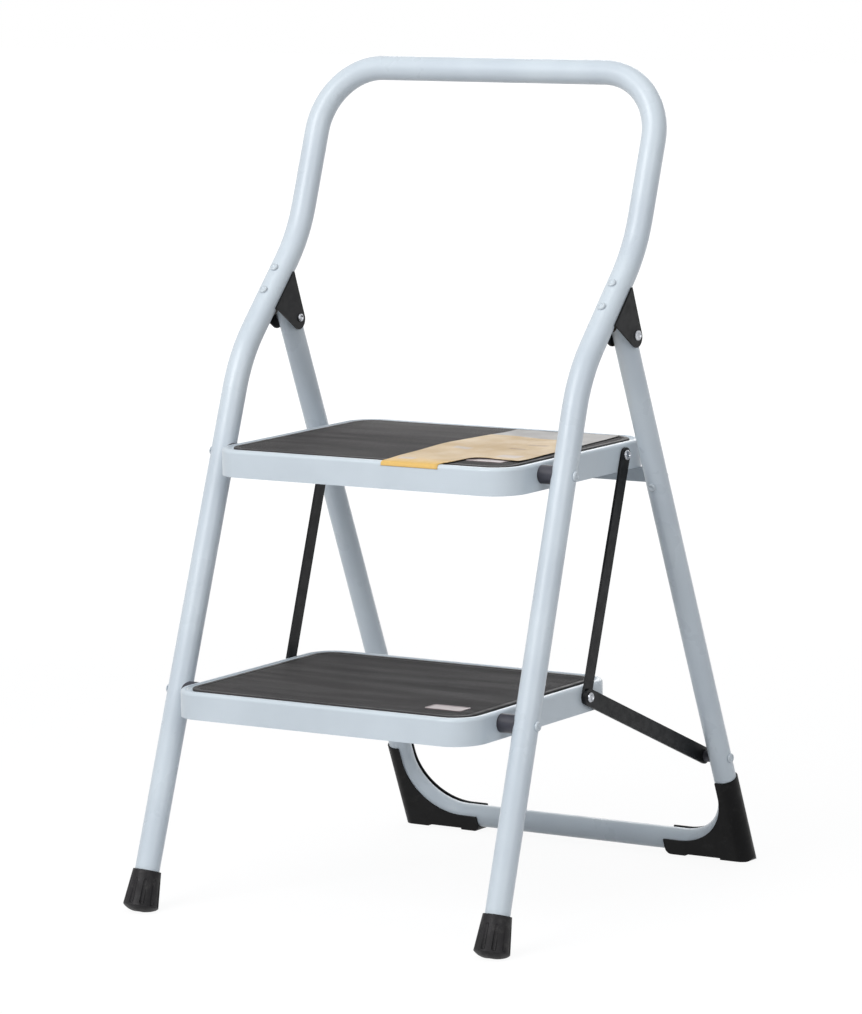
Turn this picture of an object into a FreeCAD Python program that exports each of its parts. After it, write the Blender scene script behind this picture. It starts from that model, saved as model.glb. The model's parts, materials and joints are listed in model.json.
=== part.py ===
import FreeCAD, Part
import math
import os

# Two-step folding step stool with a tall hoop handrail.
# Frame: X to the user's right, the user climbs from -Y towards +Y, Z up.
# The floor is Z = 0, and the stool stands open with its middle plane at X = 0.
# Lengths are millimetres, angles are degrees.

# Tubes of both frames
front_d = 24.0
rear_d = 22.5
tube_wall = 1.2
rivet_fit = 0.05           # radial clearance of a rivet in a hole that turns on it
hole_fit = 0.02            # radial clearance of a rivet in a hole that it is closed in
face_gap = 0.3             # clearance between the faces of pieces that turn on each other

# Front frame: two legs, two knees on each side and the hoop
leg_gap = 23.5             # from a step's side out to the leg's centreline, from the knees up
foot_splay = 6.5           # how far each leg opens outwards down to the floor
leg_lean = 19.1            # lower leg, from the vertical
knee_z = 521.3             # lower knee
middle_lean = 43.5         # stretch between the knees
shoulder_z = 630.2         # upper knee
hoop_lean = 19.8           # stretch above the upper knee
hoop_z = 794.0             # centreline of the top bar
knee_r = 150.0
hoop_r = 66.0

# Rubber foot caps on the front legs
foot_len = 40.0
foot_top_wall = 1.8
foot_sole_r = 17.3
foot_sole_h = 6.0          # sole thickness under the tube's end
foot_edge_h = 5.0          # height of the sole's rim over its middle
flute_count = 10
flute_r = 2.4
flute_low = 8.5
flute_high = 30.0
flute_out_low = 0.2        # a flute's axis stands this share of its radius outside the cap
flute_out_high = 0.7

# Hinge bracket, measured along the stretch between the knees and square to it
bracket_t = 1.6
bracket_low = 61.0
bracket_high = 107.0
cheek_gap = 0.5            # the cheeks stand this much outside the leg's sides
cheek_front = 2.0          # where cheeks and saddle begin, behind the leg's centreline
cheek_end_r = 9.8
cheek_end_low = 2.0        # middle of the rounded end below the hinge
cheek_end_far = 0.6        # and farther from the leg
hinge_along = 78.6
hinge_behind = 39.7
bracket_rivet_low = 72.5
bracket_rivet_high = 100.5
rear_tube_over = 12.0      # rear tube beyond its hinge

# Rear frame: one U-bent tube
rear_inset = 0.9           # the rear legs' centrelines lie this much inside the front legs'
rear_from_back = 36.02     # at the hem, the rear leg's centreline is this far before the step's back
rear_bar_z = 15.3
rear_bend_r = 64.0

# Corner shoes of the rear frame
shoe_wall = 1.6
shoe_arm_up = 80.0         # from the bar's centreline up the leg
shoe_arm_in = 82.0         # from the leg's centreline along the bar
shoe_front_lip = 5.5       # edge of the front lip, inwards from the tube's centreline
shoe_back_lip = 7.2        # edge of the back lip, likewise
shoe_sole = 20.0           # depth under the bar's centreline, before the floor cuts it
shoe_pad_len = 32.0
shoe_toe_len = 22.0
shoe_relief = 1.8
shoe_nose_r = 6.0          # rounded inner end of the sole
shoe_heel_r = 4.5          # rounded outer end

# Steps: two equal pressed trays, each with a mat
step_w = 343.0
step_d = 262.0
step_h = 26.5
step_sheet = 1.2
step_corner_r = 32.0
step_edge_r = 3.5
step_hem = 7.0
upper_pivot_z = 430.3
lower_pivot_z = 206.3
pivot_from_front = 58.0
pivot_over_hem = 15.3
rim_w = 5.5                # rim round the sunk deck
deck_drop = 2.0            # deck below the rim
deck_slope = 1.5           # slanted inner side of the rim
mat_inset = 11.5           # mat's edge, from the step's side
mat_t = 2.2
mat_edge = 0.6

# Rivets, spacers and the two pairs of flat bars
pin_r = 3.0
head_r = 4.8
head_h = 2.2
head_crest = 0.62          # crest of the rolled head, as a share of its radius
head_hollow = 1.4          # depth of the hollow in the head
hinge_head_r = 5.0
hinge_tail_r = 3.8         # the hinge rivet's head on the inner side
head_seat = 0.1            # the legs open outwards, so the heads stand this much off them
spacer_r = 9.0
pin_from_back = 55.5       # bar's rivet, from the step's back end
upper_bar_w = 14.5
lower_bar_w = 16.5
bar_t = 2.5
anchor_z = 112.0           # lower bar's pivot on the rear leg
bush_r = 6.0

# Cross strap behind the rear legs, which the upper step rests on
strap_h = 16.0
strap_t = 2.0
strap_over = 4.0           # beyond the rear leg's centreline
strap_rivet_r = 2.5
strap_head_r = 4.2

# Values worked out from those above
front_r = front_d / 2
rear_r = rear_d / 2
X_AXIS = FreeCAD.Vector(1, 0, 0)
ORIGIN = FreeCAD.Vector(0, 0, 0)


def vec(x, y, z):
    return FreeCAD.Vector(x, y, z)


def lean_dir(angle):
    """Direction that leans back by an angle as it rises."""
    a = math.radians(angle)
    return vec(0, math.sin(a), math.cos(a))


def behind_dir(angle):
    """Square to lean_dir, pointing back and down."""
    a = math.radians(angle)
    return vec(0, math.cos(a), -math.sin(a))


leg_rise = math.tan(math.radians(leg_lean))
knee_y = knee_z * leg_rise
shoulder_y = knee_y + (shoulder_z - knee_z) * math.tan(math.radians(middle_lean))
hoop_y = shoulder_y + (hoop_z - shoulder_z) * math.tan(math.radians(hoop_lean))
step_half = step_w / 2
leg_x = step_half + leg_gap
rear_x = leg_x - rear_inset
link_reach = step_d - pivot_from_front - pin_from_back

mid_up = lean_dir(middle_lean)
mid_back = behind_dir(middle_lean)
hinge = vec(0, knee_y, knee_z) + mid_up * hinge_along + mid_back * hinge_behind

# The rear legs lean so that they pass just before the upper step's back end
hem_z = upper_pivot_z - pivot_over_hem
upper_back_y = upper_pivot_z * leg_rise - pivot_from_front + step_d
rear_lean = math.degrees(math.atan2(upper_back_y - rear_from_back - hinge.y, hinge.z - hem_z))
rear_up = lean_dir(-rear_lean)
rear_back = vec(0, math.cos(math.radians(rear_lean)), math.sin(math.radians(rear_lean)))


def rear_at(z):
    """Point on the rear leg's centreline, in the plane X = 0."""
    return hinge - rear_up * ((hinge.z - z) / rear_up.z)


def leg_point(z):
    """Point on the lower front leg's centreline, on the right side."""
    return vec(leg_x + foot_splay * (1 - z / knee_z), z * leg_rise, z)


upper_pivot = vec(0, upper_pivot_z * leg_rise, upper_pivot_z)
lower_pivot = vec(0, lower_pivot_z * leg_rise, lower_pivot_z)
upper_link_pin = upper_pivot + vec(0, link_reach, 0)
lower_link_pin = lower_pivot + vec(0, link_reach, 0)
anchor = rear_at(anchor_z)

# Places of the flat bars across the width, from the step's side outwards
upper_bar_x = step_half + face_gap
lower_bar_x = upper_bar_x + bar_t + face_gap


def cylinder(start, axis, r, length):
    return Part.makeCylinder(r, length, start, axis)


def cross_pin(x0, x1, at, r):
    """Cylinder along X from x0 to x1 through a point of the Y-Z plane."""
    return cylinder(vec(x0, at.y, at.z), X_AXIS, r, x1 - x0)


def rolled_head(at, axis, r):
    """Rolled rivet head on a face, with a hollow in its middle."""
    crest = r * head_crest
    roll_r = ((r - crest) ** 2 + head_h ** 2) / (2 * head_h)
    roll_z = head_h - roll_r
    turn = (math.atan2(-roll_z, r - crest) + math.pi / 2) / 2
    side = vec(crest + roll_r * math.cos(turn), 0, roll_z + roll_r * math.sin(turn))
    cup_r = (crest ** 2 + head_hollow ** 2) / (2 * head_hollow)
    turn = math.asin(crest / cup_r) / 2
    floor_z = head_h - head_hollow
    slope = vec(cup_r * math.sin(turn), 0, floor_z + cup_r - cup_r * math.cos(turn))
    rim = vec(r, 0, 0)
    top = vec(crest, 0, head_h)
    low = vec(0, 0, floor_z)
    outline = Part.Wire([
        Part.LineSegment(ORIGIN, rim).toShape(),
        Part.Arc(rim, side, top).toShape(),
        Part.Arc(top, slope, low).toShape(),
        Part.LineSegment(low, ORIGIN).toShape()])
    head = Part.Face(outline).revolve(ORIGIN, vec(0, 0, 1), 360)
    head.Placement = FreeCAD.Placement(at, FreeCAD.Rotation(vec(0, 0, 1), axis))
    return head


def rivet(start, axis, r, length, top_r, tail_r):
    """Shank between two faces with a rolled head on each of them."""
    end = start + axis * length
    shank = cylinder(start, axis, r, length)
    return shank.fuse([rolled_head(end, axis, top_r), rolled_head(start, axis * -1, tail_r)])


def mirrored(shape):
    return shape.mirror(ORIGIN, X_AXIS)


def bent_path(points, radii):
    """Straight runs joined by tangent arcs at each inner point."""
    edges = []
    start = points[0]
    for before, corner, after, r in zip(points, points[1:], points[2:], radii):
        u = (before - corner).normalize()
        w = (after - corner).normalize()
        half = u.getAngle(w) / 2
        reach = r / math.tan(half)
        middle = (u + w).normalize()
        nearest = corner + middle * (r / math.sin(half) - r)
        edges.append(Part.LineSegment(start, corner + u * reach).toShape())
        edges.append(Part.Arc(corner + u * reach, nearest, corner + w * reach).toShape())
        start = corner + w * reach
    edges.append(Part.LineSegment(start, points[-1]).toShape())
    return Part.Wire(edges)


def swept_rod(path, start, towards, r):
    ring = Part.Wire([Part.makeCircle(r, start, towards)])
    return path.makePipeShell([ring], True, False)


def bent_tube(points, radii, r):
    """Outer rod and finished tube along a bent path."""
    path = bent_path(points, radii)
    towards = points[1] - points[0]
    rod = swept_rod(path, points[0], towards, r)
    bore = swept_rod(path, points[0], towards, r - tube_wall)
    return rod, rod.cut(bore)


# Front frame
foot_axis = (leg_point(knee_z) - leg_point(0)).normalize()
leg_end = leg_point(0) + foot_axis * foot_sole_h
right_side = [leg_end, leg_point(knee_z), vec(leg_x, shoulder_y, shoulder_z), vec(leg_x, hoop_y, hoop_z)]
left_side = [vec(-p.x, p.y, p.z) for p in reversed(right_side)]
front_bends = [knee_r, knee_r, hoop_r, hoop_r, knee_r, knee_r]
front_rod, front_tube = bent_tube(right_side + left_side, front_bends, front_r)


def foot_cap():
    """Tapered rubber cap with a domed sole and flutes, on the right leg."""
    top_r = front_r + foot_top_wall
    rim = vec(foot_sole_r, 0, foot_edge_h)
    sole_side = vec(foot_sole_r * 0.72, 0, foot_edge_h * 0.28)
    outline = Part.Wire([
        Part.Arc(ORIGIN, sole_side, rim).toShape(),
        Part.LineSegment(rim, vec(top_r, 0, foot_len)).toShape(),
        Part.LineSegment(vec(top_r, 0, foot_len), vec(0, 0, foot_len)).toShape(),
        Part.LineSegment(vec(0, 0, foot_len), ORIGIN).toShape()])
    cap = Part.Face(outline).revolve(ORIGIN, vec(0, 0, 1), 360)
    taper = (foot_sole_r - top_r) / (foot_len - foot_edge_h)
    flutes = []
    for i in range(flute_count):
        low_r = foot_sole_r - taper * (flute_low - foot_edge_h) + flute_r * flute_out_low
        high_r = foot_sole_r - taper * (flute_high - foot_edge_h) + flute_r * flute_out_high
        low = vec(low_r, 0, flute_low)
        high = vec(high_r, 0, flute_high)
        groove = cylinder(low, high - low, flute_r, (high - low).Length)
        groove = groove.fuse([Part.makeSphere(flute_r, low), Part.makeSphere(flute_r, high)])
        groove.rotate(ORIGIN, vec(0, 0, 1), (i + 0.5) * 360 / flute_count)
        flutes.append(groove)
    cap = cap.cut(flutes)
    cap = cap.cut(cylinder(vec(0, 0, foot_sole_h), vec(0, 0, 1), front_r, foot_len))
    cap.Placement = FreeCAD.Placement(leg_point(0), FreeCAD.Rotation(vec(0, 0, 1), foot_axis))
    reach = 2 * front_d
    floor = Part.makeBox(2 * reach, 2 * reach, front_d, leg_point(0) - vec(reach, reach, front_d))
    return cap.cut(floor)


def tangent_point(start, centre, r, towards):
    """Where a line from start touches a circle of the Y-Z plane, on the side asked for."""
    back = (start - centre).normalize()
    across = X_AXIS.cross(back)
    away = math.acos(r / (start - centre).Length)
    if across.dot(towards) < 0:
        across = across * -1
    return centre + back * (r * math.cos(away)) + across * (r * math.sin(away))


def leg_frame(along, behind):
    """Point of the plane X = 0 beside the stretch between the knees."""
    return vec(0, knee_y, knee_z) + mid_up * along + mid_back * behind


def hinge_bracket():
    """Saddle round the back of the leg with two cheeks that narrow to the hinge."""
    low = leg_frame(bracket_low, cheek_front)
    high = leg_frame(bracket_high, cheek_front)
    end = leg_frame(hinge_along - cheek_end_low, hinge_behind + cheek_end_far)
    at_low = tangent_point(low, end, cheek_end_r, mid_up * -1)
    at_high = tangent_point(high, end, cheek_end_r, mid_up)
    outward = (at_low + at_high - end * 2).normalize()
    outline = Part.Wire([
        Part.LineSegment(low, at_low).toShape(),
        Part.Arc(at_low, end + outward * cheek_end_r, at_high).toShape(),
        Part.LineSegment(at_high, high).toShape(),
        Part.LineSegment(high, low).toShape()])
    inner = front_r + cheek_gap
    outer = inner + bracket_t
    cheeks = Part.Face(outline).extrude(X_AXIS * (2 * outer))
    cheeks.translate(vec(leg_x - outer, 0, 0))
    gap = Part.Face(outline).extrude(X_AXIS * (2 * inner))
    gap.translate(vec(leg_x - inner, 0, 0))
    deep = outer + bracket_t
    saddle_side = Part.makePolygon([
        low, high, leg_frame(bracket_high, deep), leg_frame(bracket_low, deep), low])
    saddle = Part.Face(saddle_side).extrude(X_AXIS * (2 * outer))
    saddle.translate(vec(leg_x - outer, 0, 0))
    round_back = cylinder(leg_frame(0, 0) + X_AXIS * leg_x, mid_up, outer, 2 * bracket_high)
    return cheeks.cut(gap).fuse(saddle.common(round_back)).cut(front_rod).removeSplitter()


def bracket_rivet(along, r):
    """Rivet from the front of the leg into the bracket's web."""
    start = leg_frame(along, -front_r) + X_AXIS * leg_x
    return rivet(start, mid_back, r, front_d + cheek_gap + bracket_t, strap_head_r, strap_head_r)


def bracket_shank(along):
    start = leg_frame(along, -front_d) + X_AXIS * leg_x
    return cylinder(start, mid_back, strap_rivet_r + hole_fit, 3 * front_d)


hinge_head_x = front_r + cheek_gap + bracket_t
hinge_tail = vec(leg_x - hinge_head_x, hinge.y, hinge.z)
hinge_pin = rivet(hinge_tail, X_AXIS, pin_r, 2 * hinge_head_x, hinge_head_r, hinge_tail_r)
hinge_hole = cross_pin(leg_x - 2 * front_d, leg_x + 2 * front_d, hinge, pin_r + rivet_fit)
closed_hinge_hole = cross_pin(leg_x - 2 * front_d, leg_x + 2 * front_d, hinge, pin_r + hole_fit)

bracket_holes = [bracket_shank(bracket_rivet_low), bracket_shank(bracket_rivet_high)]
bracket = hinge_bracket().cut(bracket_holes + [closed_hinge_hole])
bracket_rivets = [bracket_rivet(a, strap_rivet_r) for a in (bracket_rivet_low, bracket_rivet_high)]


def step_pivot(at):
    """Long rivet through leg, spacer and the step's side."""
    leg = leg_point(at.z)
    x0 = step_half - step_sheet - face_gap
    x1 = leg.x + front_r + head_seat
    return rivet(vec(x0, at.y, at.z), X_AXIS, pin_r, x1 - x0, head_r, head_r)


def step_spacer(at):
    """Black sleeve between the step's side and the leg, hollowed to the leg."""
    x0 = step_half + face_gap
    sleeve = cross_pin(x0, leg_point(at.z).x, at, spacer_r)
    return sleeve.cut([cross_pin(x0 - 1, leg_point(at.z).x + 1, at, pin_r + hole_fit), front_rod])


leg_holes = [cross_pin(0, 2 * leg_x, at, pin_r + hole_fit) for at in (upper_pivot, lower_pivot)]
leg_holes += bracket_holes
leg_holes += [mirrored(hole) for hole in leg_holes]
front_tube = front_tube.cut(leg_holes)

# Rear frame
corner = rear_at(rear_bar_z)
rear_top = hinge + rear_up * rear_tube_over
rear_points = [vec(rear_x, rear_top.y, rear_top.z), vec(rear_x, corner.y, corner.z),
               vec(-rear_x, corner.y, corner.z), vec(-rear_x, rear_top.y, rear_top.z)]
rear_rod, rear_tube = bent_tube(rear_points, [rear_bend_r, rear_bend_r], rear_r)

anchor_out = rear_x + rear_r
bush_x = lower_bar_x + bar_t + face_gap
anchor_shank = cross_pin(bush_x, anchor_out, anchor, pin_r)
anchor_rivet = anchor_shank.fuse(rolled_head(vec(anchor_out, anchor.y, anchor.z), X_AXIS, head_r))
anchor_hole = cross_pin(rear_x - rear_d, rear_x + rear_d, anchor, pin_r + hole_fit)
link_bush = cross_pin(bush_x, rear_x, anchor, bush_r).cut([rear_rod, anchor_hole])

# The strap's upper back edge lies just under the upper step's hem
strap_top_z = hem_z - face_gap
strap_mid_z = strap_top_z - rear_up.z * strap_h / 2 - rear_back.z * strap_t
strap_seat = rear_at(strap_mid_z - rear_back.z * rear_r)
strap_mid = strap_seat + rear_back * rear_r


def cross_strap():
    """Flat strip across the backs of both rear legs."""
    half = rear_up * (strap_h / 2)
    thick = rear_back * strap_t
    end = rear_x + strap_over
    low = strap_mid - half
    high = strap_mid + half
    section = Part.makePolygon([low, high, high + thick, low + thick, low])
    strip = Part.Face(section).extrude(X_AXIS * (2 * end))
    strip.translate(vec(-end, 0, 0))
    corners = [e for e in strip.Edges if abs(e.tangentAt(e.FirstParameter).dot(rear_back)) > 0.99]
    return strip.makeFillet(strap_h / 4, corners)


def strap_shank(over):
    start = vec(rear_x, strap_seat.y, strap_seat.z) - rear_back * (rear_r + over)
    return start, rear_d + strap_t + 2 * over


start, length = strap_shank(0)
strap_rivet = rivet(start, rear_back, strap_rivet_r, length, strap_head_r, strap_head_r)
start, length = strap_shank(rear_r)
strap_hole = cylinder(start, rear_back, strap_rivet_r + hole_fit, length)
strap = cross_strap().cut([strap_hole, mirrored(strap_hole)])

rear_holes = [hinge_hole, anchor_hole, strap_hole]
rear_holes += [mirrored(hole) for hole in rear_holes]
rear_tube = rear_tube.cut(rear_holes)


def in_rear_plane(x, up):
    """Point of the rear frame's plane, measured up from the bar's centreline."""
    return vec(x, corner.y, corner.z) + rear_up * up


def rear_slab(outline, front, back):
    """Plate of the rear frame's plane between two depths."""
    plate = Part.Face(outline).extrude(rear_back * (back - front))
    plate.translate(rear_back * front)
    return plate


def along_bend(offset, top, inner):
    """Wire edges that follow the tube inside its bend, at an offset from its centreline."""
    r = rear_bend_r - offset
    centre_x = rear_x - rear_bend_r
    at_45 = r * math.sqrt(0.5)
    upper = in_rear_plane(centre_x + r, rear_bend_r)
    lower = in_rear_plane(centre_x, rear_bend_r - r)
    between = in_rear_plane(centre_x + at_45, rear_bend_r - at_45)
    return [
        Part.LineSegment(in_rear_plane(rear_x - offset, top), upper).toShape(),
        Part.Arc(upper, between, lower).toShape(),
        Part.LineSegment(lower, in_rear_plane(inner, offset)).toShape()]


shoe_out_x = rear_x + rear_r + shoe_wall
shoe_in_x = rear_x - shoe_arm_in


def shoe_half(lip, front, back):
    """Plate from the lip's edge out to the shoe's outer corner."""
    corners = [in_rear_plane(shoe_in_x, lip), in_rear_plane(shoe_in_x, -shoe_sole),
               in_rear_plane(shoe_out_x, -shoe_sole), in_rear_plane(shoe_out_x, shoe_arm_up),
               in_rear_plane(rear_x - lip, shoe_arm_up)]
    outside = [Part.LineSegment(a, b).toShape() for a, b in zip(corners, corners[1:])]
    return rear_slab(Part.Wire(along_bend(lip, shoe_arm_up, shoe_in_x) + outside), front, back)


def end_waste(x, outwards, r, y0, wide):
    """What a rounded end takes off the sole at its inner or outer end."""
    middle_x = x - outwards * r
    block = Part.makeBox(r + 1, wide, r + 1, vec(min(middle_x, x + outwards), y0, -1))
    return block.cut(cylinder(vec(middle_x, y0 - 1, r), vec(0, 1, 0), r, wide + 2))


def corner_shoe():
    """Black shoe round the tube's bend, open to the inside, with a sharp outer corner."""
    half_t = rear_r + shoe_wall
    body = shoe_half(shoe_front_lip, -half_t, 0).fuse(shoe_half(shoe_back_lip, 0, half_t)).removeSplitter()
    reach = 2 * shoe_arm_up
    inner_part = Part.makeBox(rear_x, 2 * reach, 2 * reach, corner - vec(0, reach, reach))
    low = in_rear_plane(rear_x, -2 * shoe_sole)
    rounding = cylinder(low, rear_up, half_t, shoe_arm_up + 3 * shoe_sole)
    body = body.common(inner_part.fuse(rounding))
    far_x = shoe_in_x - rear_d
    far_up = shoe_arm_up + 2 * rear_bend_r
    channel = along_bend(0, far_up, far_x)
    far = [in_rear_plane(far_x, 0), in_rear_plane(far_x, far_up), in_rear_plane(rear_x, far_up)]
    channel += [Part.LineSegment(a, b).toShape() for a, b in zip(far, far[1:])]
    body = body.cut([rear_slab(Part.Wire(channel), -rear_r, rear_r), rear_rod])
    wide = 2 * shoe_out_x
    y0 = corner.y - shoe_out_x
    floor = Part.makeBox(wide, wide, wide, vec(0, y0, -wide))
    relief_len = shoe_out_x - shoe_in_x - shoe_pad_len - shoe_toe_len
    relief = Part.makeBox(relief_len, wide, wide, vec(shoe_in_x + shoe_toe_len, y0, shoe_relief - wide))
    nose = end_waste(shoe_in_x, -1, shoe_nose_r, y0, wide)
    heel = end_waste(shoe_out_x, 1, shoe_heel_r, y0, wide)
    return body.cut([floor, relief, nose, heel])


# Steps
def rounded_plan(x_half, y0, y1, r, z, h):
    """Upright block with rounded corners in plan."""
    block = Part.makeBox(2 * x_half, y1 - y0, h, vec(-x_half, y0, z))
    upright = [e for e in block.Edges if e.BoundBox.ZLength > h / 2]
    return block.makeFillet(r, upright)


def step_plan(pivot, inset, z, h):
    """Upright block that follows the step's outline at an inset."""
    y0 = pivot.y - pivot_from_front
    z0 = pivot.z - pivot_over_hem
    return rounded_plan(step_half - inset, y0 + inset, y0 + step_d - inset, step_corner_r - inset, z0 + z, h)


def edges_at(shape, z):
    """Edges that lie in one level plane."""
    return [e for e in shape.Edges if abs(e.BoundBox.ZMin - z) < 1e-3 and e.BoundBox.ZLength < 1e-3]


def step_tray(pivot):
    """Pressed tray: sunk deck inside a rim, skirt all round and a hem turned in under it."""
    t = step_sheet
    top_z = pivot.z - pivot_over_hem + step_h
    outer = step_plan(pivot, 0, 0, step_h)
    outer = outer.makeFillet(step_edge_r, edges_at(outer, top_z))
    cavity = step_plan(pivot, t, t, step_h - 2 * t)
    cavity = cavity.makeFillet(step_edge_r - t, edges_at(cavity, top_z - t))
    pan = step_plan(pivot, rim_w - t, step_h - deck_drop - t, deck_drop + t)
    pan = pan.makeChamfer(deck_slope, edges_at(pan, top_z - deck_drop - t))
    sunk = step_plan(pivot, rim_w, step_h - deck_drop, deck_drop + t)
    sunk = sunk.makeChamfer(deck_slope, edges_at(sunk, top_z - deck_drop))
    mouth = step_plan(pivot, step_hem, -1, t + 2)
    holes = [cross_pin(-2 * step_w, 2 * step_w, pivot, pin_r + rivet_fit),
             cross_pin(-2 * step_w, 2 * step_w, pivot + vec(0, link_reach, 0), pin_r + hole_fit)]
    return outer.cut([cavity.cut(pan), sunk, mouth] + holes)


def step_mat(pivot):
    """Rubber mat lying on the sunk deck, a little inside the rim."""
    low = step_h - deck_drop
    mat = step_plan(pivot, mat_inset, low, mat_t)
    return mat.makeChamfer(mat_edge, edges_at(mat, pivot.z - pivot_over_hem + low + mat_t))


# Flat bars
def flat_bar(x0, a, b, width, pivots):
    """Bar with round ends between two points of the Y-Z plane, with its pivot holes."""
    along = (b - a).normalize()
    side = along.cross(X_AXIS) * (width / 2)
    end = along * (width / 2)
    outline = Part.Wire([
        Part.LineSegment(a + side, b + side).toShape(),
        Part.Arc(b + side, b + end, b - side).toShape(),
        Part.LineSegment(b - side, a - side).toShape(),
        Part.Arc(a - side, a - end, a + side).toShape()])
    bar = Part.Face(outline).extrude(X_AXIS * bar_t)
    bar.translate(vec(x0, 0, 0))
    return bar.cut([cross_pin(x0 - 1, x0 + bar_t + 1, at, r) for at, r in pivots])


turning = pin_r + rivet_fit
upper_bar = flat_bar(upper_bar_x, upper_link_pin, lower_link_pin, upper_bar_w,
                     [(upper_link_pin, turning), (lower_link_pin, turning)])
lower_bar = flat_bar(lower_bar_x, lower_link_pin, anchor, lower_bar_w,
                     [(lower_link_pin, turning), (anchor, pin_r + hole_fit)])


def link_rivet(at, last_x):
    """Rivet from inside the step's side out to the last bar on it."""
    x0 = step_half - step_sheet
    x1 = last_x + face_gap
    return rivet(vec(x0, at.y, at.z), X_AXIS, pin_r, x1 - x0, head_r, head_r)


upper_link_rivet = link_rivet(upper_link_pin, upper_bar_x + bar_t)
middle_link_rivet = link_rivet(lower_link_pin, lower_bar_x + bar_t)

# Inner half of the lower bar's pivot at the rear leg, closed in the bar
bar_stud = cross_pin(lower_bar_x, lower_bar_x + bar_t, anchor, pin_r)
bar_stud = bar_stud.fuse(rolled_head(vec(lower_bar_x, anchor.y, anchor.z), X_AXIS * -1, head_r))

pairs = {
    "front_foot": foot_cap(),
    "hinge_bracket": bracket,
    "hinge_pivot_rivet": hinge_pin,
    "upper_step_spacer": step_spacer(upper_pivot),
    "lower_step_spacer": step_spacer(lower_pivot),
    "upper_step_pivot_rivet": step_pivot(upper_pivot),
    "lower_step_pivot_rivet": step_pivot(lower_pivot),
    "rear_corner_shoe": corner_shoe(),
    "rear_anchor_rivet": anchor_rivet,
    "rear_anchor_bush": link_bush,
    "upper_link_bar": upper_bar,
    "lower_link_bar": lower_bar,
    "upper_link_rivet": upper_link_rivet,
    "middle_link_rivet": middle_link_rivet,
    "lower_link_stud": bar_stud,
}
nodes = {
    "front_frame_tube": front_tube,
    "rear_frame_tube": rear_tube,
    "rear_cross_strap": strap,
    "upper_step_tray": step_tray(upper_pivot),
    "lower_step_tray": step_tray(lower_pivot),
    "upper_step_mat": step_mat(upper_pivot),
    "lower_step_mat": step_mat(lower_pivot),
    "bracket_rivets": Part.makeCompound(bracket_rivets + [mirrored(r) for r in bracket_rivets]),
    "strap_rivets": Part.makeCompound([strap_rivet, mirrored(strap_rivet)]),
}
for name, shape in pairs.items():
    nodes[name + "_right"] = shape
    nodes[name + "_left"] = mirrored(shape)

# The model's origin is under the middle of the open stool
whole = Part.makeCompound(list(nodes.values())).optimalBoundingBox()
to_middle = vec(0, -(whole.YMin + whole.YMax) / 2, 0)
os.makedirs("parts", exist_ok=True)
for name, shape in nodes.items():
    shape.translate(to_middle)
    shape.exportStep("parts/" + name + ".step")
for name, at in (("hinge", hinge), ("upper_pivot", upper_pivot), ("lower_pivot", lower_pivot),
                 ("upper_link_pin", upper_link_pin), ("lower_link_pin", lower_link_pin), ("anchor", anchor)):
    print(name, round(at.y + to_middle.y, 4), round(at.z, 4))
print("middle", round(to_middle.y, 4), "size", whole.XLength, whole.YLength, whole.ZLength)
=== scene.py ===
import json
import math

import bpy
from mathutils import Matrix, Vector


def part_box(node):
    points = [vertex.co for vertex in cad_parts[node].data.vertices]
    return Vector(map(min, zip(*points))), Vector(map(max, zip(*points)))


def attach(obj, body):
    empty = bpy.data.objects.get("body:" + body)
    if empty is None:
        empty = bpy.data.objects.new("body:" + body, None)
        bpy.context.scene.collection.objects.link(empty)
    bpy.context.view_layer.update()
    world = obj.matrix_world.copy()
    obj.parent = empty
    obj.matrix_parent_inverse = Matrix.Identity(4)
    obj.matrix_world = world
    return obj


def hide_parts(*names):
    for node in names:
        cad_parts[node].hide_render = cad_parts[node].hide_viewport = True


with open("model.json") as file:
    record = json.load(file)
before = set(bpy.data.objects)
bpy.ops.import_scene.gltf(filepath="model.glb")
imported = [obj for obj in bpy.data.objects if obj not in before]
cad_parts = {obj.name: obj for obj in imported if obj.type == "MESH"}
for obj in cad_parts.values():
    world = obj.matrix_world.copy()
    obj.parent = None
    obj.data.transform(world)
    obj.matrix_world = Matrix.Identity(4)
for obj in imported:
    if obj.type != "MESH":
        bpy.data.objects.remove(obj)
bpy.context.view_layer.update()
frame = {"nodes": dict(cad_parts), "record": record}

nodes = frame["nodes"]
MM = 0.001
WHITE = (1, 1, 1, 1)


# Camera: the photograph's view, fitted to points of the object
FOCAL_OVER_WIDTH = 5058.783 / 862
AZIMUTH, ELEVATION, ROLL = (math.radians(a) for a in (33.5, 8.322, -1.085))
DISTANCE = 4.844481
AIM = Vector((0.0, -0.0895025, 0.387202))
AIM_RIGHT = 0.037851
SENSOR_WIDTH = 36
CLIP_START, CLIP_END = 0.1, 40


def place_camera():
    level = Vector((math.cos(AZIMUTH), math.sin(AZIMUTH), 0))
    forward = Vector((-math.sin(AZIMUTH) * math.cos(ELEVATION),
                      math.cos(AZIMUTH) * math.cos(ELEVATION), -math.sin(ELEVATION)))
    upright = level.cross(forward)
    right = level * math.cos(ROLL) + upright * math.sin(ROLL)
    up = upright * math.cos(ROLL) - level * math.sin(ROLL)
    camera = bpy.data.objects.new("camera", bpy.data.cameras.new("camera"))
    bpy.context.scene.collection.objects.link(camera)
    turn = Matrix((right, up, -forward)).transposed().to_4x4()
    camera.matrix_world = Matrix.Translation(AIM + level * AIM_RIGHT - forward * DISTANCE) @ turn
    camera.data.sensor_fit = "HORIZONTAL"
    camera.data.sensor_width = SENSOR_WIDTH
    camera.data.lens = SENSOR_WIDTH * FOCAL_OVER_WIDTH
    camera.data.clip_start, camera.data.clip_end = CLIP_START, CLIP_END
    bpy.context.scene.camera = camera


place_camera()


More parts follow.
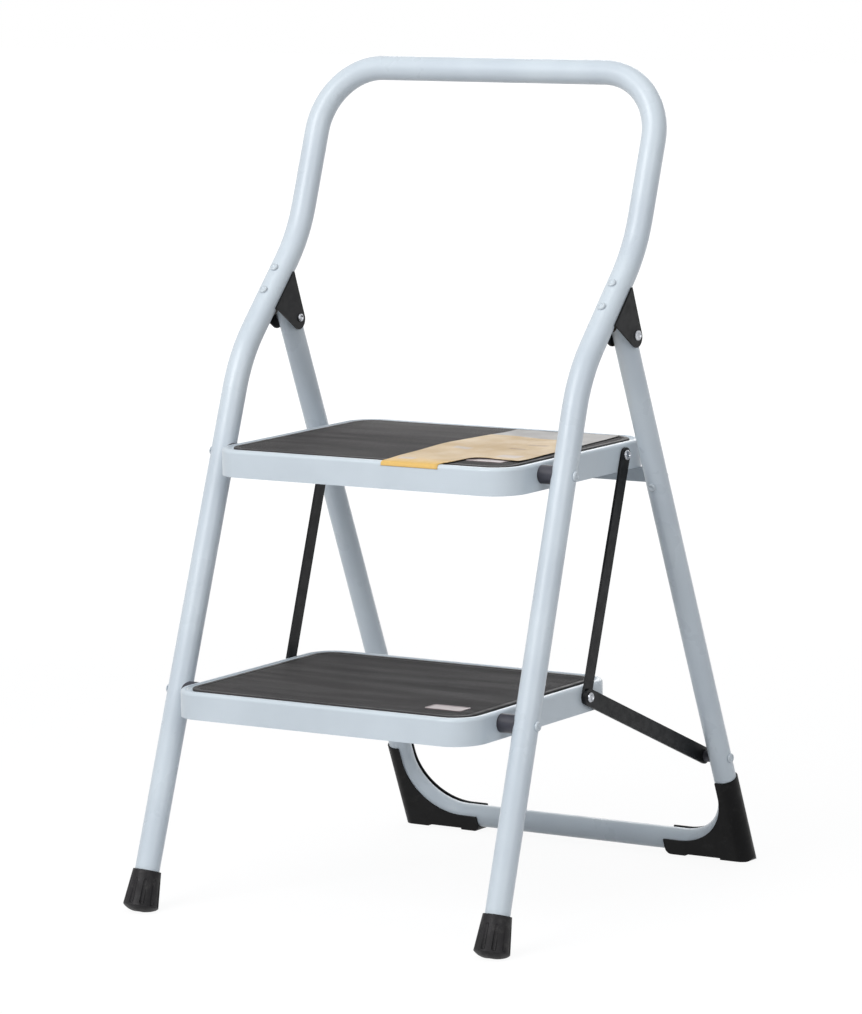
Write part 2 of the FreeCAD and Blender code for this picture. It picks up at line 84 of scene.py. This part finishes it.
# Node trees. All sizes in materials are metres of the object's own space.
def colour(r, g, b):
    """Linear colour from the 0 to 255 values that a picture shows."""
    def linear(v):
        v /= 255
        return v / 12.92 if v <= 0.04045 else ((v + 0.055) / 1.055) ** 2.4
    return linear(r), linear(g), linear(b), 1.0


class Nodes:
    """Short calls that add nodes to a tree."""

    def __init__(self, tree):
        self.tree = tree

    def node(self, kind, values=(), **settings):
        made = self.tree.nodes.new(kind)
        for key, value in settings.items():
            setattr(made, key, value)
        for key, value in dict(values).items():
            self.feed(value, made.inputs[key])
        return made

    def feed(self, value, socket):
        if isinstance(value, bpy.types.NodeSocket):
            self.tree.links.new(value, socket)
        else:
            socket.default_value = value

    def maths(self, operation, a, b=0.0):
        return self.node("ShaderNodeMath", {0: a, 1: b}, operation=operation).outputs[0]

    def range(self, value, low, high, to_low=0.0, to_high=1.0):
        """A smooth step from to_low at low to to_high at high."""
        made = self.node("ShaderNodeMapRange", {"Value": value, "From Min": low, "From Max": high,
                                                "To Min": to_low, "To Max": to_high},
                         interpolation_type="SMOOTHSTEP")
        return made.outputs["Result"]

    def white_rays(self):
        """1 for camera, glossy and transmission rays, which see plain white behind the object."""
        seen = self.node("ShaderNodeLightPath").outputs
        most = self.maths("MAXIMUM", seen["Is Camera Ray"], seen["Is Glossy Ray"])
        return self.maths("MAXIMUM", most, seen["Is Transmission Ray"])

    def output(self, kind, share, a, b):
        """The tree's output: shader a where share is 0, shader b where it is 1."""
        mixed = self.node("ShaderNodeMixShader", {0: share, 1: a.outputs[0], 2: b.outputs[0]})
        self.node(kind, {"Surface": mixed.outputs[0]})


class Surface(Nodes):
    """A Principled material and the calls that paint it."""

    def __init__(self, name, metallic=0.0, specular=0.5, coat=0.0, coat_roughness=0.1):
        self.material = bpy.data.materials.new(name)
        self.material.use_nodes = True
        super().__init__(self.material.node_tree)
        self.inputs = self.tree.nodes["Principled BSDF"].inputs
        self.inputs["Metallic"].default_value = metallic
        self.inputs["Specular IOR Level"].default_value = specular
        self.inputs["Coat Weight"].default_value = coat
        self.inputs["Coat Roughness"].default_value = coat_roughness
        self.place = self.node("ShaderNodeTexCoord").outputs["Object"]
        self.bumped = None

    def axis(self, index):
        return self.node("ShaderNodeSeparateXYZ", {0: self.place}).outputs[index]

    def scaled(self, factors):
        return self.node("ShaderNodeVectorMath", {0: self.place, 1: factors}, operation="MULTIPLY").outputs[0]

    def noise(self, size, detail=2.0, stretch=(1, 1, 1), rough=0.5):
        """Noise whose features are about this large, times the stretch along each axis."""
        factors = tuple(1 / (size * s) for s in stretch)
        made = self.node("ShaderNodeTexNoise", {"Vector": self.scaled(factors), "Scale": 1.0,
                                                "Detail": detail, "Roughness": rough})
        return made.outputs["Fac"]

    def cells(self, size):
        """Distance from the middles of cells that are about this large."""
        made = self.node("ShaderNodeTexVoronoi", {"Vector": self.scaled((1 / size,) * 3), "Scale": 1.0})
        return made.outputs["Distance"]

    def mix(self, a, b, factor):
        made = self.node("ShaderNodeMix", data_type="RGBA")
        for index, value in ((0, factor), (6, a), (7, b)):
            self.feed(value, made.inputs[index])
        return made.outputs[2]

    def paint(self, value):
        self.feed(value, self.inputs["Base Color"])

    def rough(self, value):
        self.feed(value, self.inputs["Roughness"])

    def bump(self, height, depth, strength):
        """Adds a relief on top of those that are there."""
        made = self.node("ShaderNodeBump", {"Height": height, "Distance": depth, "Strength": strength})
        if self.bumped is not None:
            self.feed(self.bumped, made.inputs["Normal"])
        self.bumped = made.outputs["Normal"]
        self.feed(self.bumped, self.inputs["Normal"])


# Materials
SPECK_SHADE = 0.82


def powder_coat(name, light, dark, roughness):
    """Gloss powder coat: fine orange peel, faint clouding of the shade and a few small specks."""
    s = Surface(name, specular=0.36, coat=0.1, coat_roughness=0.15)
    cloud = s.range(s.noise(0.09, 3), 0.35, 0.65)
    speck = s.range(s.noise(0.0009, 1), 0.72, 0.8, 0, 0.35)
    speck_tone = colour(*[v * SPECK_SHADE for v in dark])
    s.paint(s.mix(s.mix(colour(*dark), colour(*light), cloud), speck_tone, speck))
    s.rough(s.range(s.noise(0.035, 3), 0.3, 0.7, roughness - 0.04, roughness + 0.07))
    s.bump(s.noise(0.0016, 2), depth=0.00004, strength=0.45)
    s.bump(s.noise(0.02, 1), depth=0.00012, strength=0.35)
    return s.material


def moulded(name, light, dark, roughness, grain, depth, wear, specular):
    """Moulded plastic or rubber with a fine spark-eroded grain and a little dust."""
    s = Surface(name, specular=specular)
    dusty = colour(118, 116, 114)
    cloud = s.range(s.noise(0.03, 4), 0.3, 0.7)
    base = s.mix(colour(*dark), colour(*light), cloud)
    s.paint(s.mix(base, dusty, s.range(s.noise(0.012, 5, rough=0.7), 0.5, 0.75, 0, wear)))
    s.rough(s.range(s.noise(0.01, 3), 0.3, 0.7, roughness - 0.05, roughness + 0.08))
    s.bump(s.cells(grain), depth, strength=0.6)
    s.bump(s.noise(grain * 6, 2), depth * 2, strength=0.3)
    return s.material


def baked_black(name):
    """Satin black paint on sheet steel, with faint rolling lines and scuffs."""
    s = Surface(name, specular=0.16)
    dark, light, lighter_mark = colour(20, 21, 23), colour(27, 28, 30), colour(70, 70, 72)
    scuff = s.range(s.noise(0.004, 6, (1, 1, 4), 0.75), 0.62, 0.8, 0, 0.5)
    cloud = s.range(s.noise(0.025, 3), 0.3, 0.7)
    s.paint(s.mix(s.mix(dark, light, cloud), lighter_mark, scuff))
    s.rough(s.range(s.noise(0.008, 4), 0.3, 0.7, 0.34, 0.5))
    s.bump(s.noise(0.0012, 3), depth=0.00006, strength=0.6)
    s.bump(s.noise(0.003, 2, (1, 1, 12)), depth=0.00004, strength=0.5)
    return s.material


def plated_steel(name):
    """Bright zinc on rivets: small dents and a dull film here and there."""
    s = Surface(name, metallic=1.0)
    bright, dull = colour(196, 199, 204), colour(146, 149, 155)
    s.paint(s.mix(bright, dull, s.range(s.noise(0.003, 4, rough=0.65), 0.35, 0.7)))
    s.rough(s.range(s.noise(0.0015, 3), 0.3, 0.7, 0.22, 0.42))
    s.bump(s.noise(0.0007, 2), depth=0.00004, strength=0.6)
    return s.material


STEP_SPLIT = 0.3, 0.35      # heights between the two mats
# Painted sheen on the upper mat: the y range over which it rises, and its share
PAINTED_SHEEN_FROM_TO = -0.03, 0.1
# Share of painted shade on the lower mat, for the shade under the upper step
PAINTED_SHEEN_SHARE, LOWER_MAT_PAINTED_SHADE = 0.55, 0.32


def mat_rubber(name):
    """Warm grey rubber with streaks along the ribs, a powdery bloom and a fine pitted skin.

    The upper mat is painted paler towards its back, which is a painted sheen, and the lower mat is painted a
    little darker, which is painted shade from the upper step.
    """
    s = Surface(name, specular=0.3)
    # dark is the tone of the pits and of the lower mat's painted shade
    dark, base, streaked = colour(31, 30, 31), colour(40, 39, 40), colour(54, 52, 53)
    # pale is the colour of the painted sheen at the upper mat's back
    bloom, pale = colour(60, 58, 58), colour(88, 86, 86)
    streak = s.range(s.noise(0.01, 5, (14, 1, 1), 0.6), 0.35, 0.68)
    cloud = s.range(s.noise(0.11, 4, (1.6, 1, 1)), 0.35, 0.65)
    tone = s.mix(base, streaked, streak)
    tone = s.mix(tone, bloom, s.maths("MULTIPLY", cloud, 0.45))
    y, z = s.axis(1), s.axis(2)
    # Painted sheen: the upper mat is painted paler towards its back
    lighter_mark = s.maths("MULTIPLY", s.range(y, *PAINTED_SHEEN_FROM_TO, 0, PAINTED_SHEEN_SHARE), s.range(z, *STEP_SPLIT))
    tone = s.mix(tone, pale, lighter_mark)
    # Painted shade: the lower mat is painted darker, for the shade under the upper step
    tone = s.mix(tone, dark, s.range(z, *STEP_SPLIT, LOWER_MAT_PAINTED_SHADE, 0))
    pit = s.range(s.cells(0.0016), 0.05, 0.3)
    s.paint(s.mix(dark, tone, s.range(pit, 0, 1, 0.65, 1)))
    s.rough(s.range(s.noise(0.02, 4, (8, 1, 1)), 0.3, 0.7, 0.5, 0.68))
    s.bump(s.cells(0.0011), depth=0.00012, strength=0.7)
    s.bump(s.noise(0.006, 3, (20, 1, 1)), depth=0.0002, strength=0.35)
    return s.material


# The paper's generic blocks, in millimetres of the row frame: middle x and y, half sizes, pale or dark
PAPER_BLOCKS = ((56, -49, 9, 5, True), (44, -126, 9, 4, True), (126, -74, 12, 7, True),
                (104, -26, 9, 3, False), (110, 1, 11, 3, False))
BLOCK_SOFT = 2.5
BLOCK_SHARE = 0.6
YELLOW_FROM_TO = -0.146, -0.112
GREY_FROM_TO = 0.045, 0.0465
GREY_SLANTS_FROM_X, GREY_SLANT = 0.104, 0.75


def block_mask(s, x, y, cx, cy, half_x, half_y):
    """1 inside a soft-edged block, 0 outside."""
    inside = None
    for place, centre, half in ((x, cx, half_x), (y, cy, half_y)):
        away = s.maths("ABSOLUTE", s.maths("SUBTRACT", place, centre * MM))
        part = s.range(away, (half - BLOCK_SOFT) * MM, (half + BLOCK_SOFT) * MM, 1, 0)
        inside = part if inside is None else s.maths("MULTIPLY", inside, part)
    return inside


def paper_sheet(name):
    """Plain printed paper: yellow at the fold, pale and warm behind it, grey at the back."""
    s = Surface(name, specular=0.16)
    yellow, warm_dark, warm_light = colour(228, 188, 112), colour(196, 170, 132), colour(211, 188, 153)
    pale_block, dark_block = colour(200, 195, 198), colour(150, 124, 110)
    grey_dark, grey_light, fibre_dark = colour(160, 158, 157), colour(173, 171, 169), colour(120, 110, 96)
    x, y = s.axis(0), s.axis(1)
    fibre = s.range(s.noise(0.0012, 3, (3, 1, 1)), 0.3, 0.7)
    wash = s.range(s.noise(0.05, 3), 0.3, 0.7)
    warm = s.mix(yellow, s.mix(warm_dark, warm_light, wash), s.range(y, *YELLOW_FROM_TO))
    for *block, pale in PAPER_BLOCKS:
        share = s.maths("MULTIPLY", block_mask(s, x, y, *block), BLOCK_SHARE)
        warm = s.mix(warm, pale_block if pale else dark_block, share)
    grey = s.mix(grey_dark, grey_light, s.range(s.noise(0.03, 4), 0.3, 0.7))
    past_slant = s.maths("MAXIMUM", s.maths("SUBTRACT", x, GREY_SLANTS_FROM_X), 0.0)
    slanted = s.maths("ADD", y, s.maths("MULTIPLY", past_slant, GREY_SLANT))
    tone = s.mix(warm, grey, s.range(slanted, *GREY_FROM_TO))
    s.paint(s.mix(tone, fibre_dark, s.range(fibre, 0, 1, 0.06, 0)))
    s.rough(s.range(s.noise(0.015, 3), 0.3, 0.7, 0.46, 0.6))
    s.bump(s.noise(0.018, 2), depth=0.0004, strength=0.35)
    s.bump(fibre, depth=0.00002, strength=0.5)
    return s.material


def badge_plate(name):
    """Bare satin plate with short brushed lines."""
    s = Surface(name, metallic=0.35)
    brushed = s.range(s.noise(0.0008, 4, (30, 1, 1)), 0.3, 0.7)
    s.paint(s.mix(colour(120, 108, 110), colour(146, 133, 134), brushed))
    s.rough(s.range(brushed, 0, 1, 0.32, 0.46))
    s.bump(brushed, depth=0.00003, strength=0.6)
    return s.material


BY_SLOT = {
    "frame_paint": powder_coat("frame_powder_coat", (205, 215, 223), (198, 208, 217), 0.3),
    "tray_paint": powder_coat("tray_powder_coat", (205, 215, 223), (199, 209, 217), 0.34),
    "strap_paint": powder_coat("strap_powder_coat", (198, 207, 214), (190, 200, 208), 0.36),
    "rivet_paint": powder_coat("rivet_powder_coat", (203, 212, 219), (190, 199, 206), 0.28),
    "mat_rubber": mat_rubber("mat_rubber"),
    "rivet_steel": plated_steel("rivet_zinc"),
    "foot_rubber": moulded("foot_rubber", (27, 25, 28), (19, 18, 20), roughness=0.5,
                           grain=0.0011, depth=0.00012, wear=0.2, specular=0.25),
    "shoe_plastic": moulded("shoe_plastic", (19, 19, 20), (14, 14, 15), roughness=0.42,
                            grain=0.0009, depth=0.00007, wear=0.06, specular=0.12),
    "spacer_plastic": moulded("spacer_plastic", (66, 66, 74), (54, 54, 61), roughness=0.4,
                              grain=0.0009, depth=0.00006, wear=0.1, specular=0.3),
    "black_paint": baked_black("black_paint"),
}
paper = paper_sheet("paper_sheet")
badge = badge_plate("badge_plate")

for part in frame["record"]["subparts"]:
    for place in nodes[part["node"]].material_slots:
        place.material = BY_SLOT[part["material_slot"]]


# Pieces
SHARP_ANGLE = math.radians(32)


def piece(name, points, faces, material, body, slot, thickness=0.0):
    """A mesh object of the stool, points in millimetres of the row frame."""
    mesh = bpy.data.meshes.new(name)
    mesh.from_pydata([tuple(v * MM for v in p) for p in points], [], faces)
    mesh.validate()
    mesh.materials.append(material)
    mesh.shade_smooth()
    mesh.set_sharp_from_angle(angle=SHARP_ANGLE)
    made = bpy.data.objects.new(name, mesh)
    bpy.context.scene.collection.objects.link(made)
    if thickness:
        solid = made.modifiers.new("thickness", "SOLIDIFY")
        solid.thickness, solid.offset = thickness * MM, 1
    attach(made, body)
    return made


def rounded(x0, x1, y0, y1, r, z, steps):
    """Outline of a rectangle with rounded corners, seen from above."""
    out = []
    corners = ((x1 - r, y0 + r, -90), (x1 - r, y1 - r, 0), (x0 + r, y1 - r, 90), (x0 + r, y0 + r, 180))
    for cx, cy, first in corners:
        for i in range(steps + 1):
            a = math.radians(first + 90 * i / steps)
            out.append((cx + r * math.cos(a), cy + r * math.sin(a), z))
    return out


def stacked(loops):
    """Points and faces of a closed skin through loops of equal length."""
    points = [p for loop in loops for p in loop]
    n = len(loops[0])
    faces = []
    for k in range(len(loops) - 1):
        for i in range(n):
            a, b = k * n + i, k * n + (i + 1) % n
            faces.append((a, b, b + n, a + n))
    faces.append(tuple(reversed(range(n))))
    faces.append(tuple(range(len(points) - n, len(points))))
    return points, faces


MAT_CORNER_R = 20.5
MAT_CORNER_STEPS = 10
# Inset and depth below the top
MAT_EDGE = ((0, 0.6), (0.2, 0.25), (0.6, 0), (4.4, 0), (4.8, 0.7))
RIB_PITCH, RIB_HALF, RIB_RISE = 3.3, 0.95, 0.55
RIB_ROOT = 0.75             # depth of the ribs' roots below the top
RIB_INSET = 7.0             # from the mat's edge to the ribs' ends
RIB_CREST = 0.45            # share of the rib's width at its crest
RIB_END_SLOPE = 0.8


def ribbed_mat(name, node, body):
    """Rubber mat with a smooth raised border and fine ribs along X that end inside it.

    Returns its right edge, front edge and top.
    """
    lo, hi = (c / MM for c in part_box(node))
    x0, x1, y0, y1, top = lo.x, hi.x, lo.y, hi.y, hi.z

    def loop(inset, z):
        return rounded(x0 + inset, x1 - inset, y0 + inset, y1 - inset,
                       MAT_CORNER_R - inset, z, MAT_CORNER_STEPS)

    points, faces = stacked([loop(0, lo.z)] + [loop(inset, top - down) for inset, down in MAT_EDGE])
    corner = MAT_CORNER_R - RIB_INSET
    count = int((y1 - y0 - 2 * RIB_INSET - 2 * RIB_HALF) / RIB_PITCH)
    first = (y0 + y1 - count * RIB_PITCH) / 2
    root, crest = top - RIB_ROOT, top - RIB_ROOT + RIB_RISE
    for i in range(count + 1):
        y = first + i * RIB_PITCH
        from_end = min(y - y0, y1 - y) - RIB_INSET
        cut = 0.0
        if from_end < corner:
            cut = corner - math.sqrt(max(0.0, corner ** 2 - (corner - from_end) ** 2))
        half = x1 - RIB_INSET - cut
        n = len(points)
        for side in (-1, 1):
            low, high = side * half, side * (half - RIB_END_SLOPE)
            points += [(low, y - RIB_HALF, root), (high, y - RIB_HALF * RIB_CREST, crest),
                       (high, y + RIB_HALF * RIB_CREST, crest), (low, y + RIB_HALF, root)]
        faces += [(n, n + 4, n + 5, n + 1), (n + 1, n + 5, n + 6, n + 2), (n + 2, n + 6, n + 7, n + 3),
                  (n, n + 1, n + 2, n + 3), (n + 7, n + 6, n + 5, n + 4)]
    made = piece(name, points, faces, BY_SLOT["mat_rubber"], body, "mat_rubber")
    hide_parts(node)
    return x1, y0, top


PLATE_FROM_RIGHT, PLATE_FROM_FRONT = 61, 25     # from the mat's edges to the plate's left front corner
PLATE_W, PLATE_D = 41, 20
PLATE_CORNER_R, PLATE_CORNER_STEPS = 3.2, 6
# Inset and height over the mat
PLATE_EDGE = ((0, -0.9), (0, 0.15), (0.25, 0.4), (1.1, 0.4), (1.4, 0.1), (1.5, 0.1))


def plate(name, mat_edges, body):
    """Small bare plate with a raised rim, let into the front right corner of a mat."""
    right, front, top = mat_edges
    x0, y0 = right - PLATE_FROM_RIGHT, front + PLATE_FROM_FRONT
    x1, y1 = x0 + PLATE_W, y0 + PLATE_D
    loops = []
    for inset, rise in PLATE_EDGE:
        loops.append(rounded(x0 + inset, x1 - inset, y0 + inset, y1 - inset,
                             PLATE_CORNER_R - inset, top + rise, PLATE_CORNER_STEPS))
    piece(name, *stacked(loops), badge, body, "rivet_steel")


upper = ribbed_mat("upper_mat_ribbed", "upper_step_mat", "upper_step")
lower = ribbed_mat("lower_mat_ribbed", "lower_step_mat", "lower_step")
plate("upper_mat_plate", upper, "upper_step")
plate("lower_mat_plate", lower, "lower_step")


# Paper on the upper step, in millimetres
PAPER_LEFT, TONGUE_RIGHT = 28.5, 92.5
EDGE_STRIP = 0.8                            # narrow first column along the left edge
TONGUE_COLUMNS = 12
PAPER_BACK, BACK_SLANT = 92.5, 0.06
# The front edge right of the tongue, cut out so that the plate stays bare: x, y
NOTCH = ((93.6, -145.0), (96.6, -140.0), (97.4, -132.0), (97.9, -118.0), (98.3, -108.0), (100.0, -102.0),
         (103.1, -98.6), (107.0, -96.4), (111.7, -95.0), (117.5, -95.0), (124.0, -96.4), (130.0, -96.6),
         (136.0, -97.8), (142.4, -99.4), (148.0, -100.8), (151.5, -101.4), (153.0, -99.6))
RIGHT_FROM, RIGHT_SLANT = 100, 0.046        # columns right of this lean with the right edge
RIM_R, RIM_GAP = 3.5, 0.4                   # the tray's rim and the paper's gap over it
RIM_STEPS, RIM_STEP_ANGLE = 6, 18
TONGUE_DROP = 4.1
BEHIND_RIM = ((8, 0.38), (12, 0.3))         # from the rim to the mat: behind the tray's front, height
PAPER_LIFT = 0.3
PAPER_ROWS = 40
PAPER_THICKNESS = 0.12
SETTLE = 14                                 # length over which waves and curl fade at the front edges
BOW_RISE, BOW_Y, BOW_LONG, BOW_WIDE = 2.6, -25, 80, 42
CURL_RISE = 0.6


def paper_on_step():
    """Paper on the upper mat, cut out round the plate, with a tongue folded over the tray's front rim."""
    tray_lo, tray_hi = (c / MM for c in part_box("upper_step_tray"))
    top, front, deck = upper[2], tray_lo.y, tray_hi.z
    tongue_w = TONGUE_RIGHT - PAPER_LEFT
    xs = [PAPER_LEFT, PAPER_LEFT + EDGE_STRIP]
    xs += [PAPER_LEFT + tongue_w * i / TONGUE_COLUMNS for i in range(1, TONGUE_COLUMNS)]
    xs += [TONGUE_RIGHT] + [x for x, _ in NOTCH]
    starts = dict(NOTCH)
    corner, corner_y = NOTCH[-1]
    fold_r = RIM_R + RIM_GAP
    over = [(front - RIM_GAP, deck - TONGUE_DROP)]
    for i in range(RIM_STEPS):
        a = math.radians(RIM_STEP_ANGLE * i)
        over.append((front + RIM_R - fold_r * math.cos(a), deck - RIM_R + fold_r * math.sin(a)))
    (near, near_rise), (far, far_rise) = BEHIND_RIM
    over += [(front + near, deck + near_rise), (front + far, top + far_rise)]
    flat_from = over[-1][0]

    points, faces = [], []
    for x in xs:
        on_tongue = x <= TONGUE_RIGHT
        start = flat_from if on_tongue else starts[x]
        back = PAPER_BACK + (x - PAPER_LEFT) * BACK_SLANT
        for y, z in (over[:-1] if on_tongue else [(start, top + PAPER_LIFT)] * (len(over) - 1)):
            points.append((x, y, z))
        for j in range(PAPER_ROWS + 1):
            y = start + (back - start) * j / PAPER_ROWS
            wave = 0.3 + 0.2 * math.sin(x * 0.11 + y * 0.035) + 0.15 * math.sin(y * 0.083 - x * 0.05)
            bow = BOW_RISE * math.exp(-((y - BOW_Y) / BOW_LONG) ** 2 - ((x - PAPER_LEFT) / BOW_WIDE) ** 2)
            if on_tongue:
                curl, fade = 0.0, max(0.0, min(1.0, (y - flat_from) / SETTLE))
            else:
                curl, fade = CURL_RISE * max(0.0, 1 - (y - start) / SETTLE), 1.0
            across = x
            if x >= RIGHT_FROM:
                edge = corner - (y - corner_y) * RIGHT_SLANT
                across = RIGHT_FROM + (x - RIGHT_FROM) * (edge - RIGHT_FROM) / (corner - RIGHT_FROM)
            points.append((across, y, top + PAPER_LIFT + (wave + bow) * fade + curl))
    n = PAPER_ROWS + len(over)
    for i in range(len(xs) - 1):
        first = 0 if xs[i + 1] <= TONGUE_RIGHT else len(over) - 1
        for j in range(first, n - 1):
            a = i * n + j
            faces.append((a, a + n, a + n + 1, a + 1))
    piece("upper_step_paper", points, faces, paper, "upper_step", "mat_rubber", PAPER_THICKNESS)


paper_on_step()


# Floor, world and light, in metres
FLOOR_REACH, FLOOR_DROP = 12.0, 0.0002
FLOOR_TINT = (0.62, 0.62, 0.63, 1)
FLOOR_GLOW = 1.1
GLOW_NEAR_SHARE = 0.84                      # share of the glow near the stool, so that its shadow shows
GLOW_FROM_TO = 1.2, 3.5                     # distances over which the share rises to 1
WORLD_TINT, WORLD_STRENGTH = (0.96, 0.98, 1, 1), 0.37

# Softboxes: name, place, height of the point they face, side, watts
SOFTBOXES = (
    ("key", (-0.55, -2.5, 2.35), 0.45, 1.8, 62),
    ("top", (0.1, -0.4, 3.2), 0.4, 1.4, 12),
    ("fill", (2.8, -1.5, 1.5), 0.45, 1.6, 18),
    ("back", (-1.0, 2.7, 1.3), 0.45, 1.6, 13),
)


def stage_floor():
    """Plain pale floor that keeps the shadow and turns white away from the stool."""
    mesh = bpy.data.meshes.new("floor")
    r = FLOOR_REACH
    mesh.from_pydata([(-r, -r, 0), (r, -r, 0), (r, r, 0), (-r, r, 0)], [], [(0, 1, 2, 3)])
    floor = bpy.data.objects.new("floor", mesh)
    bpy.context.scene.collection.objects.link(floor)
    floor.location.z = -FLOOR_DROP
    made = bpy.data.materials.new("floor_pale")
    made.use_nodes = True
    made.node_tree.nodes.clear()
    t = Nodes(made.node_tree)
    place = t.node("ShaderNodeTexCoord").outputs["Object"]
    away = t.node("ShaderNodeVectorMath", {0: place}, operation="LENGTH").outputs["Value"]
    share = t.maths("MULTIPLY", t.white_rays(), t.range(away, *GLOW_FROM_TO, GLOW_NEAR_SHARE, 1.0))
    plain = t.node("ShaderNodeBsdfDiffuse", {"Color": FLOOR_TINT})
    glow = t.node("ShaderNodeEmission", {"Color": WHITE, "Strength": FLOOR_GLOW})
    t.output("ShaderNodeOutputMaterial", share, plain, glow)
    mesh.materials.append(made)


def studio_world():
    """Even light from all sides, seen as plain white by the camera and in reflections."""
    world = bpy.data.worlds.new("studio")
    bpy.context.scene.world = world
    world.use_nodes = True
    world.node_tree.nodes.clear()
    t = Nodes(world.node_tree)
    lit = t.node("ShaderNodeBackground", {"Color": WORLD_TINT, "Strength": WORLD_STRENGTH})
    white = t.node("ShaderNodeBackground", {"Color": WHITE, "Strength": 1.0})
    t.output("ShaderNodeOutputWorld", t.white_rays(), lit, white)


def softbox(name, place, facing, side, power):
    light = bpy.data.lights.new(name, "AREA")
    light.shape, light.size, light.size_y, light.energy = "RECTANGLE", side, side, power
    made = bpy.data.objects.new(name, light)
    bpy.context.scene.collection.objects.link(made)
    away = Vector(place) - Vector((0, 0, facing))
    made.matrix_world = Matrix.Translation(place) @ away.to_track_quat("Z", "Y").to_matrix().to_4x4()


stage_floor()
studio_world()
for box in SOFTBOXES:
    softbox(*box)

bpy.context.scene.view_settings.view_transform = "Standard"
